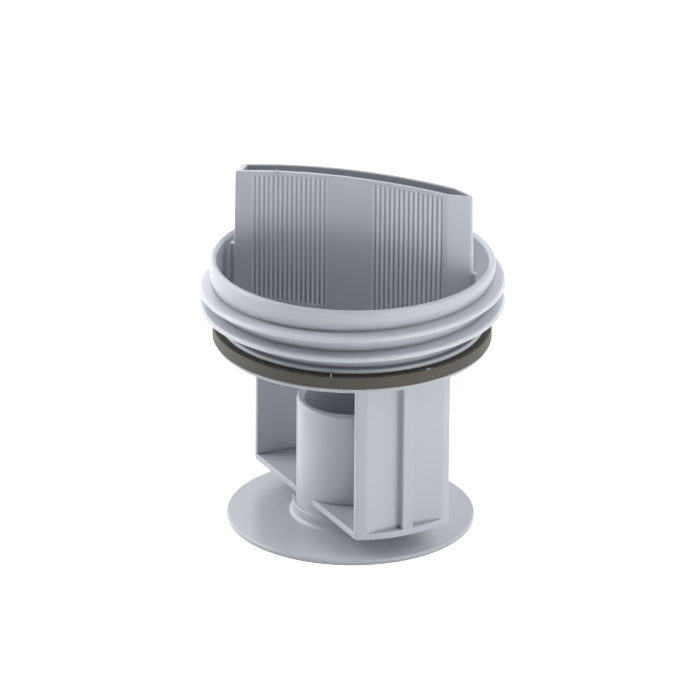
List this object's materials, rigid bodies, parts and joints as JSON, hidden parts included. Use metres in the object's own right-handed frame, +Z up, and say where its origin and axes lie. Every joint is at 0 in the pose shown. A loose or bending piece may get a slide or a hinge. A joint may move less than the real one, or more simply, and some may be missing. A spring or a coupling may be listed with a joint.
{
  "type": "drain pump filter",
  "caption": "Screw-in drain pump filter: threaded cup with a ribbed finger grip, rubber seal ring in a groove, and an open two-walled frame with an inlet tube on a foot disc.",
  "frame": {"origin": "centre of the foot disc's underside, on the filter's axis", "axes": "+Z up along the filter's axis, from the foot disc to the finger grip; +X square to one end wall of the frame; the grip lies at 45 degrees from +X towards +Y"},
  "size_m": [0.063, 0.063, 0.0762],
  "materials": {
    "grey_plastic": "satin moulded, cool light grey",
    "seal_rubber": "matt, dark olive brown"
  },
  "bodies": {
    "root": {"filter_body": "grey_plastic", "seal_ring": "seal_rubber"}
  },
  "joints": []
}
